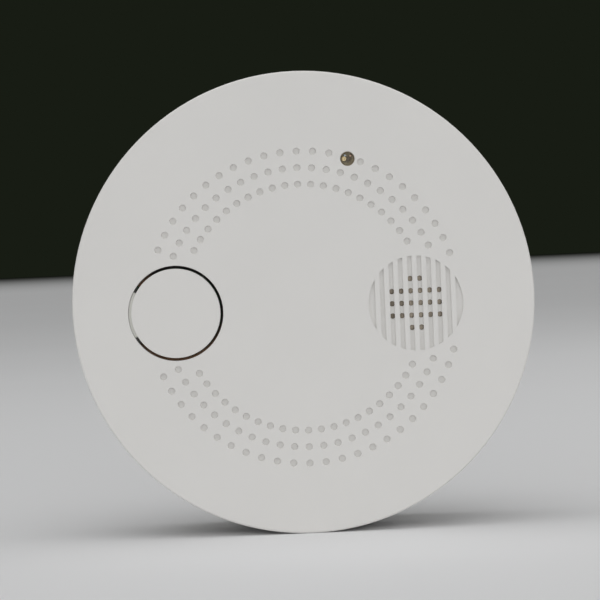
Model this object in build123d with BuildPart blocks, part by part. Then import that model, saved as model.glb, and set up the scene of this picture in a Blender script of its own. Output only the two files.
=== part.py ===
"""Flat-faced photoelectric smoke alarm that hangs on a bayonet mounting plate.

Row frame, in millimetres: +X right and +Z up as a person in front of the alarm sees it, +Y into the wall.
The origin is the centre of the mounting plate's back. Heights below are distances from the wall, so a
height h lies at y = -h, and every sketch that faces the room stands on level(h).
"""

import os
from math import cos, radians, sin

from build123d import *

os.makedirs("parts", exist_ok=True)

# ---- driving dimensions -------------------------------------------------------------------------
# Front cover
FACE = 36.0  # height of the flat front face
DISC_R = 56.0
PLATE_T = 2.0  # thickness of the cover's face
INNER = FACE - PLATE_T  # height of the cover's inner face
SKIRT_T = 1.8
SKIRT_H = 27.0  # height of the skirt's free edge
EDGE_R = 0.5  # rounding of the disc's rim
SOFT_EDGE = 0.1  # rounding of the small moulded edges
TOUCH = 0.01  # lengths closer than this are the same

# Pattern of dimples, a little below the disc's centre
PATTERN_Z = -1.2
RING_RADII = (29.8, 33.8, 37.8)
RING_STEP = 6.0  # degrees from one dimple to the next
RING_STARTS = (5, 4, 3)  # first dimple of each ring, in steps up from the +X side
RING_ENDS = (25, 26, 26)
DIMPLE_R = 0.83
DIMPLE_DEPTH = 0.7
DIMPLE_DRAFT = 0.06  # how much narrower a dimple's floor is

# Test button, hinged at its outer side
BUTTON_AT = (-30.9, PATTERN_Z - 0.1)
BUTTON_R = 10.82
BUTTON_GAP = 0.72
OPENING_R = BUTTON_R + BUTTON_GAP
WEB_W = 11.0  # width of the web that joins the cap to its hinge
WEB_H = (INNER + 0.1, FACE - 0.9)  # bottom and top of the web
LIP_T = 0.75  # what is left of the cover's face over the hinge
BEAD_TOP = FACE - 0.5  # top of the bead that fills the gap over the web
BEAD_FIT = 0.1
PIN_R = 0.5
PIN_FIT = 0.03  # running clearance on the pin
PIN_L = 14.4
KNUCKLE_R = 0.9
HINGE_X = BUTTON_AT[0] - OPENING_R - 1.4
EAR_T = 1.2
EAR_OFF = 6.8  # from the button's middle to the middle of each ear
SWITCH_X = -26.0  # the cap's stem and the switch it presses
STEM_R = 1.6
STEM_TIP = 24.75

# Sounder, behind the ridged grille
HORN_AT = (27.3, PATTERN_Z - 0.1)
GRILLE_R = 11.45
GRILLE_DEPTH = 0.7
RIDGE_PITCH = 2.29
RIDGE_W = 1.2
RIDGES = 9
SOUND_HOLE_R = 0.66
SOUND_ROWS = {-2: 2, -1: 6, 0: 6, 1: 6, 2: 2}  # row number: holes in that row
ROW_PITCH = 2.96
HORN_R = 13.0
HORN_WALL = 1.1
HORN_BACK = 24.0
LEDGE_R = 10.3  # bore of the ledge that carries the sounder disc
PIEZO_R = 11.7
PIEZO_H = (31.6, 31.8, 32.0)  # back of the ceramic, back of the brass, front of the brass
CERAMIC_R = 8.0

# Indicator light
LED_RING_R = 37.5
LED_ANGLE = 70.9
LED_R = 1.55
LED_HOLE_R = 1.75
LED_AT = (LED_RING_R * cos(radians(LED_ANGLE)), LED_RING_R * sin(radians(LED_ANGLE)) + PATTERN_Z)
LED_TIP = FACE + 0.1
LED_FLANGE_R = 1.95
LED_FLANGE_H = (31.0, 32.0)
LEAD_OFF = 1.27  # from the light's axis to each lead
LEAD_W = 0.5
LEAD_HOLE_R = 0.4
LEAD_STUB = 1.0  # length of a lead behind the board

# Rear housing and its smoke inlet
BACK = 0.8  # height of the housing's edge, which leaves a gap to the wall
BACK_R = (49.4, 51.2)  # inside and outside radius of that edge
BULGE = (53.3, 4.6)  # radius and height of a point on the curve above it
WAIST = (54.5, 9.5)  # radius and height where the curve ends
SHOULDER_R = 55.2
SHOULDER = 17.5  # top of the housing's wall, where the inlet starts
WALL_T = 2.2
SHELF_T = 1.3  # thickness of the shelf that the inlet's fins stand on
FLOOR_H = (7.0, 9.0)
FIN_R = (50.6, 54.6)
FIN_COUNT = 72
FIN_T = 1.1
FIN_TOP = SKIRT_H - 0.2
SPIGOT_R = (50.9, 53.9)  # ring on the fins, which locates in the cover's skirt
SPIGOT_TOP = 29.0

# Screws that hold the cover on the housing
BOSS_CIRCLE_R = 46.5
BOSS_ANGLES = (90, 210, 330)
BOSS_SPLIT = 20.0  # height where the housing's bosses meet the cover's
HOUSING_BOSS_R = 3.9
COVER_BOSS_R = 3.2
SCREW_R = 1.3
SCREW_BITE = 0.05  # gap drawn between a screw and the boss that it cuts its thread in
SCREW_PLAY = 0.3  # gap round a screw in a part that it only passes through
SCREW_HEAD = (2.8, 2.2)  # radius and height
SCREW_SEAT = 11.0
SCREW_TIP = 29.0
SCREW_BOTTOM = 1.0  # empty depth past the screw's tip

# Circuit board
BOARD_H = (14.0, 15.6)
BOARD_R = 42.0
BOARD_SCREWS = ((31.0, 22.0), (-35.0, 15.0), (-31.0, -19.0), (33.0, -17.0))
POST_R = 2.6
POST_SCREW_R = 0.95
POST_SCREW_HEAD = (2.1, 1.4)
POST_SCREW_TIP = 10.4

# Battery
BATTERY_AT = (0.0, -33.0)
BATTERY_R = 8.5
BATTERY_L = 34.5
BATTERY_H = 19.3  # height of the cell's axis
BATTERY_BAY = (40.0, -23.5)  # width and upper edge of the cut in the board
CRADLE_OFF = 11.0  # from the cell's middle to each cradle
CRADLE_T = 1.6
CRADLE_H = (6.0, 15.0)  # height of a cradle above the floor, and its width

# Smoke chamber
CHAMBER_AT = (-5.0, 18.5)
CHAMBER_R = 18.0
CHAMBER_H = (BOARD_H[1], 18.0, 29.0, 31.0)  # underside, top of the base, underside of the lid, top
VANES = 24
VANE_T = 0.9
VANE_L = 2.7
VANE_RINGS = ((16.7, 42.0), (15.1, -42.0))  # radius and slant of each half of the chevrons
OPTICS_H = 23.5
OPTICS_R = 1.5
OPTICS_L = 5.2
OPTICS_OFF = 7.0  # from the chamber's middle to the tip of each lens
EMITTER_ANGLE = 215.0
DETECTOR_ANGLE = 345.0
SCREEN_R = (18.1, 18.45)
SCREEN_LAP = 1.6  # how far the screen reaches over the base and the lid

# Mounting plate and its bayonet
HOOK_ANGLES = (30, 150, 270)
TWIST = 15.0  # degrees from locked to free
WEB_T = 2.0
PLATE_TOP = 5.6
DECK_BOTTOM = 3.6
DECK_R = (34.0, 48.5)
HOOK_R = 41.0
PILLAR_T = 1.4
PILLAR_HALF = 2.2  # degrees each side of a hook's middle
FOOT_W = 6.0
FOOT_H = (1.4, 3.3)
FOOT_HALF = 5.2
FOOT_PLAY = 0.5  # gap round a pillar or a foot in its window
SCREW_SPACING = 50.0
SLOT_L = 10.0
SLOT_R = 2.2
PAD_H = 0.6  # raised pad round each screw slot
PAD_RIM = 2.0

# Power switch: a slider that the mounting plate holds while the alarm is twisted on
SLIDER_AT = (18.0, 90.0)  # radius and angle of the knob
SLIDER_T = 2.8
SLIDER_HALF = 5.0  # degrees each side of the knob's middle
SLIDER_H = (3.0, 10.4)
SLIDER_FLANGE = (6.0, 9.0, 0.2)  # width, half angle and gap to the floor
SLIDER_GAP = (0.3, 1.5)  # gap beside the knob in its slot, and degrees of it at each end
KEY = (1.6, 2.0)  # width and length of the square key that works the switch


# ---- where things stand -------------------------------------------------------------------------
def level(height, at=(0.0, 0.0)):
    """The plane facing the room at a height above the wall, with local x and y along +X and +Z."""
    return Plane(origin=(at[0], -height, at[1]), x_dir=(1, 0, 0), z_dir=(0, -1, 0))


def section(at=(0.0, 0.0)):
    """The plane of half a section: local x is the radius and local y the height above the wall."""
    return Plane(origin=(at[0], 0, at[1]), x_dir=(1, 0, 0), z_dir=(0, 0, -1))


def spindle(at=(0.0, 0.0)):
    """The axis through a point of the face, pointing at the room."""
    return Axis((at[0], 0, at[1]), (0, -1, 0))


def polar(radius, angle, centre=(0.0, 0.0)):
    """A point of the face, from a radius and an angle in degrees about a centre."""
    return (centre[0] + radius * cos(radians(angle)), centre[1] + radius * sin(radians(angle)))


def ring_segment(radius, width, start, end, mode=Mode.ADD):
    """Adds a segment of a ring to the sketch: its middle radius, its width and two angles in degrees."""
    inner_r = radius - width / 2
    outer_r = radius + width / 2
    with BuildLine() as outline:
        CenterArc((0, 0), outer_r, start, end - start)
        Line(polar(outer_r, end), polar(inner_r, end))
        CenterArc((0, 0), inner_r, start, end - start)
        Line(polar(inner_r, start), polar(outer_r, start))
    make_face(outline.edges(), mode=mode)


def cross_recess(width, length):
    """Adds the outline of a cross recess to the sketch."""
    Rectangle(width, length)
    Rectangle(length, width)


def export(piece, name):
    """Labels a finished sub-part and writes it to its own STEP file."""
    piece.part.label = name
    export_step(piece.part, f"parts/{name}.step")
    print(name, len(piece.part.solids()), round(piece.part.volume, 2), piece.part.is_valid)


BOSSES = [polar(BOSS_CIRCLE_R, angle) for angle in BOSS_ANGLES]
HINGE_AT = (HINGE_X, -INNER)  # the pin's place, seen along it


# ---- front cover --------------------------------------------------------------------------------
def dimple_places():
    """Every dimple's place: three rings in two arcs, less the one that the indicator light replaces."""
    clearance = LED_HOLE_R + DIMPLE_R
    places = []
    for radius, first, last in zip(RING_RADII, RING_STARTS, RING_ENDS):
        for step in range(first, last + 1):
            for side in (1, -1):
                x, z = polar(radius, side * step * RING_STEP, (0, PATTERN_Z))
                if (x - LED_AT[0]) ** 2 + (z - LED_AT[1]) ** 2 > clearance**2:
                    places.append((x, 0, z))
    return places


def sound_hole_places():
    """The holes through the grille's grooves, row by row, seen from the grille's middle."""
    places = []
    for row, count in SOUND_ROWS.items():
        for n in range(count):
            places.append(((n - (count - 1) / 2) * RIDGE_PITCH, row * ROW_PITCH))
    return places


# One dimple: a blind pit whose mouth is rolled over by the soft edge.
MOUTH_R = DIMPLE_R + SOFT_EDGE
ABOVE = FACE + 0.5
with BuildPart(mode=Mode.PRIVATE) as dimple:
    with BuildSketch(section()):
        with BuildLine():
            Polyline(
                (MOUTH_R, ABOVE),
                (0, ABOVE),
                (0, FACE - DIMPLE_DEPTH),
                (DIMPLE_R - DIMPLE_DRAFT, FACE - DIMPLE_DEPTH),
                (DIMPLE_R, FACE - SOFT_EDGE),
            )
            RadiusArc((DIMPLE_R, FACE - SOFT_EDGE), (MOUTH_R, FACE), SOFT_EDGE)
            Line((MOUTH_R, FACE), (MOUTH_R, ABOVE))
        make_face()
    revolve(axis=spindle())

GUIDE_R = (BUTTON_R + 1.28, BUTTON_R + 2.48)
GUIDE_DEPTH = 4.0
POCKET_W = WEB_W + 1.4
POCKET_L = 3.6
HINGE_GAP_W = 13.8  # opening in the guide wall for the hinge
EAR_R = 1.6
COLLAR_DEPTH = 1.6
COLLAR_WALL = 1.1
RIB = (54.6, 1.2, 1.6)  # length, thickness and depth
RIB_PLACES = (43.5, -22.0)
with BuildPart() as front_cover:
    with BuildSketch(level(SKIRT_H)):
        Circle(DISC_R)
    extrude(amount=FACE - SKIRT_H)
    with BuildSketch(level(SKIRT_H)):
        Circle(DISC_R - SKIRT_T)
    extrude(amount=INNER - SKIRT_H, mode=Mode.SUBTRACT)
    fillet(front_cover.edges().filter_by(GeomType.CIRCLE).sort_by(Axis.Y)[0], EDGE_R)
    # two stiffening ribs behind the face, clear of the button, the sounder and the chamber
    with BuildSketch(level(INNER - RIB[2])):
        with Locations(*[(0, place) for place in RIB_PLACES]):
            Rectangle(RIB[0], RIB[1])
    extrude(amount=RIB[2])
    # opening for the test button, and the wall round it that keeps light out of the housing
    with BuildSketch(level(INNER, BUTTON_AT)):
        Circle(OPENING_R)
    extrude(amount=PLATE_T, mode=Mode.SUBTRACT)
    with BuildSketch(level(INNER - GUIDE_DEPTH, BUTTON_AT)):
        Circle(GUIDE_R[1])
        Circle(GUIDE_R[0], mode=Mode.SUBTRACT)
        with Locations((-BUTTON_R, 0)):
            Rectangle(BUTTON_R, HINGE_GAP_W, mode=Mode.SUBTRACT)
    extrude(amount=GUIDE_DEPTH)
    # pocket over the hinge, with two ears that hold its pin
    with BuildSketch(level(INNER, (HINGE_X, BUTTON_AT[1]))):
        Rectangle(POCKET_L, POCKET_W)
        with Locations((POCKET_L / 2, 0)):
            Rectangle(POCKET_L, POCKET_W)
    extrude(amount=PLATE_T - LIP_T, mode=Mode.SUBTRACT)
    with BuildSketch(Plane.XY.offset(BUTTON_AT[1] - EAR_OFF), Plane.XY.offset(BUTTON_AT[1] + EAR_OFF)):
        with Locations(HINGE_AT):
            Circle(EAR_R)
            with Locations((0, -PLATE_T / 4)):
                Rectangle(2 * EAR_R, PLATE_T / 2)
    extrude(amount=EAR_T / 2, both=True)
    with BuildSketch(Plane.XY.offset(BUTTON_AT[1])):
        with Locations(HINGE_AT):
            Circle(PIN_R + PIN_FIT)
    extrude(amount=PIN_L / 2, both=True, mode=Mode.SUBTRACT)
    # sounder grille: a shallow round recess with raised ridges, and holes through its grooves
    with BuildSketch(level(FACE - GRILLE_DEPTH, HORN_AT)):
        Circle(GRILLE_R)
        with GridLocations(RIDGE_PITCH, 1, RIDGES, 1):
            Rectangle(RIDGE_W, 3 * GRILLE_R, mode=Mode.SUBTRACT)
    extrude(amount=GRILLE_DEPTH, mode=Mode.SUBTRACT)
    with BuildSketch(level(INNER, HORN_AT)):
        with Locations(*sound_hole_places()):
            Circle(SOUND_HOLE_R)
    extrude(amount=PLATE_T - GRILLE_DEPTH, mode=Mode.SUBTRACT)
    # hole for the indicator light, with a collar behind it
    with BuildSketch(level(INNER - COLLAR_DEPTH, LED_AT)):
        Circle(LED_HOLE_R + COLLAR_WALL)
    extrude(amount=COLLAR_DEPTH)
    with BuildSketch(level(INNER - COLLAR_DEPTH, LED_AT)):
        Circle(LED_HOLE_R)
    extrude(amount=COLLAR_DEPTH + PLATE_T, mode=Mode.SUBTRACT)
    # rolled edges of the two round openings
    for radius in (OPENING_R, LED_HOLE_R):
        mouths = front_cover.edges().filter_by(GeomType.CIRCLE).filter_by_position(Axis.Y, -FACE, -FACE)
        fillet(mouths.filter_by(lambda edge: abs(edge.radius - radius) < TOUCH), SOFT_EDGE)
    # bosses for the housing screws
    with BuildSketch(level(BOSS_SPLIT)):
        with Locations(*BOSSES):
            Circle(COVER_BOSS_R)
    extrude(amount=INNER - BOSS_SPLIT)
    with BuildSketch(level(BOSS_SPLIT)):
        with Locations(*BOSSES):
            Circle(SCREW_R + SCREW_BITE)
    extrude(amount=SCREW_TIP + SCREW_BOTTOM - BOSS_SPLIT, mode=Mode.SUBTRACT)
    # three rings of dimples
    with Locations(*dimple_places()):
        add(dimple.part, mode=Mode.SUBTRACT)
export(front_cover, "front_cover")

# ---- test button, its pin and the switch --------------------------------------------------------
CAP_RIM_R = (8.4, 9.4)
CAP_RIM_DEPTH = 1.4
WEB_ROOT = 1.0  # how far the web runs in under the cap
BEAD_HALF = 29.0  # degrees of gap that the bead fills each side of the web's middle
with BuildPart() as test_button:
    with BuildSketch(level(INNER, BUTTON_AT)):
        Circle(BUTTON_R)
    extrude(amount=PLATE_T)
    fillet(test_button.edges().filter_by(GeomType.CIRCLE).sort_by(Axis.Y)[0], SOFT_EDGE)
    with BuildSketch(level(INNER - CAP_RIM_DEPTH, BUTTON_AT)):
        Circle(CAP_RIM_R[1])
        Circle(CAP_RIM_R[0], mode=Mode.SUBTRACT)
    extrude(amount=CAP_RIM_DEPTH)
    # stem with a domed tip that presses the switch
    with BuildSketch(level(STEM_TIP, (SWITCH_X, BUTTON_AT[1]))):
        Circle(STEM_R)
    extrude(amount=INNER - STEM_TIP)
    tip = test_button.edges().filter_by(GeomType.CIRCLE).sort_by(Axis.Y)[-1]
    fillet(tip, STEM_R * 0.7)
    # web under the gap, the bead on it, and the knuckle that turns on the pin
    web_end = BUTTON_AT[0] - BUTTON_R + WEB_ROOT
    with BuildSketch(level(WEB_H[0])):
        with Locations(((HINGE_X + web_end) / 2, BUTTON_AT[1])):
            Rectangle(web_end - HINGE_X, WEB_W)
    extrude(amount=WEB_H[1] - WEB_H[0])
    with BuildSketch(level(WEB_H[1], BUTTON_AT)):
        bead_w = BUTTON_GAP - BEAD_FIT + WEB_ROOT / 2
        ring_segment(OPENING_R - BEAD_FIT - bead_w / 2, bead_w, 180 - BEAD_HALF, 180 + BEAD_HALF)
    extrude(amount=BEAD_TOP - WEB_H[1])
    with BuildSketch(Plane.XY.offset(BUTTON_AT[1])):
        with Locations(HINGE_AT):
            Circle(KNUCKLE_R)
    extrude(amount=WEB_W / 2, both=True)
    with BuildSketch(Plane.XY.offset(BUTTON_AT[1])):
        with Locations(HINGE_AT):
            Circle(PIN_R + PIN_FIT)
    extrude(amount=WEB_W / 2, both=True, mode=Mode.SUBTRACT)
export(test_button, "test_button")

PIN_END_PLAY = 0.2
with BuildPart() as button_pin:
    with BuildSketch(Plane.XY.offset(BUTTON_AT[1])):
        with Locations(HINGE_AT):
            Circle(PIN_R)
    extrude(amount=PIN_L / 2 - PIN_END_PLAY, both=True)
    chamfer(button_pin.edges().filter_by(GeomType.CIRCLE), PIN_R / 4)
export(button_pin, "button_pin")

SWITCH_AT = (SWITCH_X, BUTTON_AT[1])
SWITCH_W = 6.0
SWITCH_T = 3.5
SWITCH_CORNER = 0.4
SWITCH_FLOOR = 1.0
SWITCH_NECK = (0.6, 0.4)  # wall and height of the collar round the plunger
PLUNGER_R = 1.75
PLUNGER_FIT = 0.05
PLUNGER_H = (17.6, 24.6)
with BuildPart() as switch_body:
    with BuildSketch(level(BOARD_H[1], SWITCH_AT)):
        RectangleRounded(SWITCH_W, SWITCH_W, SWITCH_CORNER)
    extrude(amount=SWITCH_T)
    with BuildSketch(level(BOARD_H[1] + SWITCH_T, SWITCH_AT)):
        Circle(PLUNGER_R + SWITCH_NECK[0])
    extrude(amount=SWITCH_NECK[1])
    with BuildSketch(level(BOARD_H[1] + SWITCH_FLOOR, SWITCH_AT)):
        Circle(PLUNGER_R + PLUNGER_FIT)
    extrude(amount=SWITCH_T, mode=Mode.SUBTRACT)
export(switch_body, "switch_body")

with BuildPart() as switch_plunger:
    with BuildSketch(level(PLUNGER_H[0], SWITCH_AT)):
        Circle(PLUNGER_R)
    extrude(amount=PLUNGER_H[1] - PLUNGER_H[0])
    chamfer(switch_plunger.edges().filter_by(GeomType.CIRCLE), 0.2)
export(switch_plunger, "switch_plunger")

# ---- sounder ------------------------------------------------------------------------------------
CUP_RIB = (9.7, 1.6, 1.4, 3.0)  # radius of its place, thickness, width and height
CUP_RIBS = 3
with BuildPart() as sounder_cup:
    with BuildSketch(section(HORN_AT)):
        with BuildLine():
            Polyline(
                (LEDGE_R, HORN_BACK),
                (HORN_R, HORN_BACK),
                (HORN_R, INNER),
                (HORN_R - HORN_WALL, INNER),
                (HORN_R - HORN_WALL, PIEZO_H[1]),
                (LEDGE_R, PIEZO_H[1]),
                close=True,
            )
        make_face()
    revolve(axis=spindle(HORN_AT))
    # ribs that stiffen the cup
    with BuildSketch(level(HORN_BACK, HORN_AT)):
        with PolarLocations(CUP_RIB[0], CUP_RIBS, start_angle=90):
            Rectangle(CUP_RIB[1], CUP_RIB[2])
    extrude(amount=CUP_RIB[3])
export(sounder_cup, "sounder_cup")

with BuildPart() as sounder_disc:
    with BuildSketch(level(PIEZO_H[1], HORN_AT)):
        Circle(PIEZO_R)
    extrude(amount=PIEZO_H[2] - PIEZO_H[1])
export(sounder_disc, "sounder_disc")

with BuildPart() as sounder_ceramic:
    with BuildSketch(level(PIEZO_H[0], HORN_AT)):
        Circle(CERAMIC_R)
    extrude(amount=PIEZO_H[1] - PIEZO_H[0])
export(sounder_ceramic, "sounder_ceramic")

GASKET_W = 1.2
with BuildPart() as sounder_gasket:
    with BuildSketch(level(PIEZO_H[2], HORN_AT)):
        Circle(PIEZO_R)
        Circle(PIEZO_R - GASKET_W, mode=Mode.SUBTRACT)
    extrude(amount=INNER - PIEZO_H[2])
export(sounder_gasket, "sounder_gasket")

# Two leaf springs that stand on the board: one touches the ceramic, the other the brass.
LEAF_T = 0.25
LEAF_W = 2.0
LEAF_FOOT = 2.4  # length of a leaf on the board
LEAF_RISE = 7.0  # height of its first bend
LEAF_NOSE = (1.2, 1.6)  # how far the last bend lies from the tip
LEAF_TIPS = ((3.0, PIEZO_H[0]), (9.2, PIEZO_H[1]))  # distance from the horn's middle, and height
with BuildPart() as sounder_contacts:
    for offset, top in LEAF_TIPS:
        heel = (HORN_AT[0] + offset - 3.0, -BOARD_H[1] - LEAF_T / 2)
        nose = (HORN_AT[0] + offset, -top + LEAF_T / 2)
        with BuildSketch(Plane.XY.offset(HORN_AT[1])):
            with BuildLine():
                Polyline(
                    heel,
                    (heel[0] + LEAF_FOOT, heel[1]),
                    (heel[0] + LEAF_FOOT - 1.0, heel[1] - LEAF_RISE),
                    (nose[0] - LEAF_NOSE[0], nose[1] + LEAF_NOSE[1]),
                    nose,
                )
            trace(line_width=LEAF_T)
        extrude(amount=LEAF_W / 2, both=True)
export(sounder_contacts, "sounder_contacts")

# ---- indicator light ----------------------------------------------------------------------------
with BuildPart() as status_led:
    with BuildSketch(section(LED_AT)):
        with BuildLine():
            Polyline(
                (0, LED_TIP),
                (0, LED_FLANGE_H[0]),
                (LED_FLANGE_R, LED_FLANGE_H[0]),
                (LED_FLANGE_R, LED_FLANGE_H[1]),
                (LED_R, LED_FLANGE_H[1]),
                (LED_R, LED_TIP - LED_R),
            )
            RadiusArc((LED_R, LED_TIP - LED_R), (0, LED_TIP), -LED_R)
        make_face()
    revolve(axis=spindle(LED_AT))
export(status_led, "status_led")

SPACER_R = 2.2
with BuildPart() as led_spacer:
    with BuildSketch(level(BOARD_H[1], LED_AT)):
        Circle(SPACER_R)
        with GridLocations(2 * LEAD_OFF, 1, 2, 1):
            Circle(LEAD_HOLE_R, mode=Mode.SUBTRACT)
    extrude(amount=LED_FLANGE_H[0] - BOARD_H[1])
export(led_spacer, "led_spacer")

with BuildPart() as led_leads:
    with BuildSketch(level(BOARD_H[0] - LEAD_STUB, LED_AT)):
        with GridLocations(2 * LEAD_OFF, 1, 2, 1):
            Rectangle(LEAD_W, LEAD_W)
    extrude(amount=LED_FLANGE_H[0] - BOARD_H[0] + LEAD_STUB)
export(led_leads, "led_leads")

# ---- rear housing -------------------------------------------------------------------------------
INSIDE_R = WAIST[0] - WALL_T  # inside of the wall at the floor
with BuildPart() as rear_housing:
    with BuildSketch(section()):
        with BuildLine():
            Line((BACK_R[0], BACK), (BACK_R[1], BACK))
            ThreePointArc((BACK_R[1], BACK), BULGE, WAIST)
            Polyline(
                WAIST,
                (SHOULDER_R, SHOULDER),
                (FIN_R[0], SHOULDER),
                (FIN_R[0], SHOULDER - SHELF_T),
                (SHOULDER_R - WALL_T, SHOULDER - SHELF_T - 2.0),
                (INSIDE_R, FLOOR_H[1]),
                (0, FLOOR_H[1]),
                (0, FLOOR_H[0]),
                (INSIDE_R - 0.8, FLOOR_H[0]),
                (BACK_R[0], BACK),
            )
        make_face()
    revolve(axis=spindle())
    # fins of the smoke inlet, and the ring on them that locates in the cover
    with BuildSketch(level(SHOULDER - SHELF_T / 2)):
        with PolarLocations((FIN_R[0] + FIN_R[1]) / 2, FIN_COUNT):
            SlotOverall(FIN_R[1] - FIN_R[0], FIN_T)
    extrude(amount=FIN_TOP - SHOULDER + SHELF_T / 2)
    with BuildSketch(level(FIN_TOP)):
        Circle(SPIGOT_R[1])
        Circle(SPIGOT_R[0], mode=Mode.SUBTRACT)
    extrude(amount=SPIGOT_TOP - FIN_TOP)
    # bosses for the cover's screws, entered from the back
    with BuildSketch(level(FLOOR_H[1])):
        with Locations(*BOSSES):
            Circle(HOUSING_BOSS_R)
    extrude(amount=BOSS_SPLIT - FLOOR_H[1])
    with BuildSketch(level(FLOOR_H[0])):
        with Locations(*BOSSES):
            Circle(SCREW_HEAD[0] + SCREW_PLAY)
    extrude(amount=SCREW_SEAT - FLOOR_H[0], mode=Mode.SUBTRACT)
    with BuildSketch(level(SCREW_SEAT)):
        with Locations(*BOSSES):
            Circle(SCREW_R + SCREW_PLAY)
    extrude(amount=BOSS_SPLIT - SCREW_SEAT, mode=Mode.SUBTRACT)
    # posts for the board
    with BuildSketch(level(FLOOR_H[1])):
        with Locations(*BOARD_SCREWS):
            Circle(POST_R)
    extrude(amount=BOARD_H[0] - FLOOR_H[1])
    with BuildSketch(level(POST_SCREW_TIP - SCREW_PLAY)):
        with Locations(*BOARD_SCREWS):
            Circle(POST_SCREW_R + SCREW_BITE)
    extrude(amount=BOARD_H[0] - POST_SCREW_TIP + SCREW_PLAY, mode=Mode.SUBTRACT)
    # two cradles for the battery
    with BuildSketch(Plane.YZ.offset(-CRADLE_OFF), Plane.YZ.offset(CRADLE_OFF)):
        with Locations((-FLOOR_H[1] - CRADLE_H[0] / 2, BATTERY_AT[1])):
            Rectangle(CRADLE_H[0], CRADLE_H[1])
        with Locations((-BATTERY_H, BATTERY_AT[1])):
            Circle(BATTERY_R + 0.1, mode=Mode.SUBTRACT)
    extrude(amount=CRADLE_T / 2, both=True)
    # slot that the power slider's knob sweeps as the alarm is twisted off
    with BuildSketch(level(FLOOR_H[0])):
        ring_segment(
            SLIDER_AT[0],
            SLIDER_T + 2 * SLIDER_GAP[0],
            SLIDER_AT[1] - TWIST - SLIDER_HALF - SLIDER_GAP[1],
            SLIDER_AT[1] + SLIDER_HALF + SLIDER_GAP[1],
        )
    extrude(amount=FLOOR_H[1] - FLOOR_H[0], mode=Mode.SUBTRACT)
    # bayonet hooks: a pillar and a foot that turns in under the plate's deck
    for angle in HOOK_ANGLES:
        with BuildSketch(level(FOOT_H[0])):
            ring_segment(HOOK_R, PILLAR_T, angle - PILLAR_HALF, angle + PILLAR_HALF)
        extrude(amount=FLOOR_H[0] - FOOT_H[0])
        with BuildSketch(level(FOOT_H[0])):
            ring_segment(HOOK_R, FOOT_W, angle - FOOT_HALF, angle + FOOT_HALF)
        extrude(amount=FOOT_H[1] - FOOT_H[0])
export(rear_housing, "rear_housing")

LABEL_AT = (0.0, -14.0)
LABEL = (40.0, 20.0, 0.12)  # width, height and thickness
LABEL_CORNER = 2.0
with BuildPart() as back_label:
    with BuildSketch(level(FLOOR_H[0] - LABEL[2], LABEL_AT)):
        RectangleRounded(LABEL[0], LABEL[1], LABEL_CORNER)
    extrude(amount=LABEL[2])
export(back_label, "back_label")

# ---- screws -------------------------------------------------------------------------------------
RECESS = (0.7, 3.0, 1.0)  # width, length and depth of the cross recess
with BuildPart() as cover_screws:
    with BuildSketch(level(SCREW_SEAT - SCREW_HEAD[1])):
        with Locations(*BOSSES):
            Circle(SCREW_HEAD[0])
    extrude(amount=SCREW_HEAD[1])
    fillet(cover_screws.edges().filter_by(GeomType.CIRCLE).group_by(Axis.Y)[-1], SCREW_HEAD[0] / 4)
    with BuildSketch(level(SCREW_SEAT)):
        with Locations(*BOSSES):
            Circle(SCREW_R)
    extrude(amount=SCREW_TIP - SCREW_SEAT)
    chamfer(cover_screws.edges().filter_by(GeomType.CIRCLE).group_by(Axis.Y)[0], SCREW_R / 2)
    with BuildSketch(level(SCREW_SEAT - SCREW_HEAD[1])):
        with Locations(*BOSSES):
            cross_recess(RECESS[0], RECESS[1])
    extrude(amount=RECESS[2], mode=Mode.SUBTRACT)
export(cover_screws, "cover_screws")

POST_RECESS = (0.5, 2.2, 0.7)
with BuildPart() as board_screws:
    with BuildSketch(level(BOARD_H[1])):
        with Locations(*BOARD_SCREWS):
            Circle(POST_SCREW_HEAD[0])
    extrude(amount=POST_SCREW_HEAD[1])
    fillet(board_screws.edges().filter_by(GeomType.CIRCLE).group_by(Axis.Y)[0], POST_SCREW_HEAD[0] / 4)
    with BuildSketch(level(POST_SCREW_TIP)):
        with Locations(*BOARD_SCREWS):
            Circle(POST_SCREW_R)
    extrude(amount=BOARD_H[1] - POST_SCREW_TIP)
    with BuildSketch(level(BOARD_H[1] + POST_SCREW_HEAD[1] - POST_RECESS[2])):
        with Locations(*BOARD_SCREWS):
            cross_recess(POST_RECESS[0], POST_RECESS[1])
    extrude(amount=POST_RECESS[2], mode=Mode.SUBTRACT)
export(board_screws, "board_screws")

# ---- circuit board and what is soldered to it ---------------------------------------------------
with BuildPart() as circuit_board:
    with BuildSketch(level(BOARD_H[0])):
        Circle(BOARD_R)
        with Locations((0, BATTERY_BAY[1] - BOARD_R / 2)):
            Rectangle(BATTERY_BAY[0], BOARD_R, mode=Mode.SUBTRACT)
        with Locations(*BOARD_SCREWS):
            Circle(POST_SCREW_R + SCREW_PLAY, mode=Mode.SUBTRACT)
        with Locations(LED_AT):
            with GridLocations(2 * LEAD_OFF, 1, 2, 1):
                Circle(LEAD_HOLE_R, mode=Mode.SUBTRACT)
    extrude(amount=BOARD_H[1] - BOARD_H[0])
export(circuit_board, "circuit_board")

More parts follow.
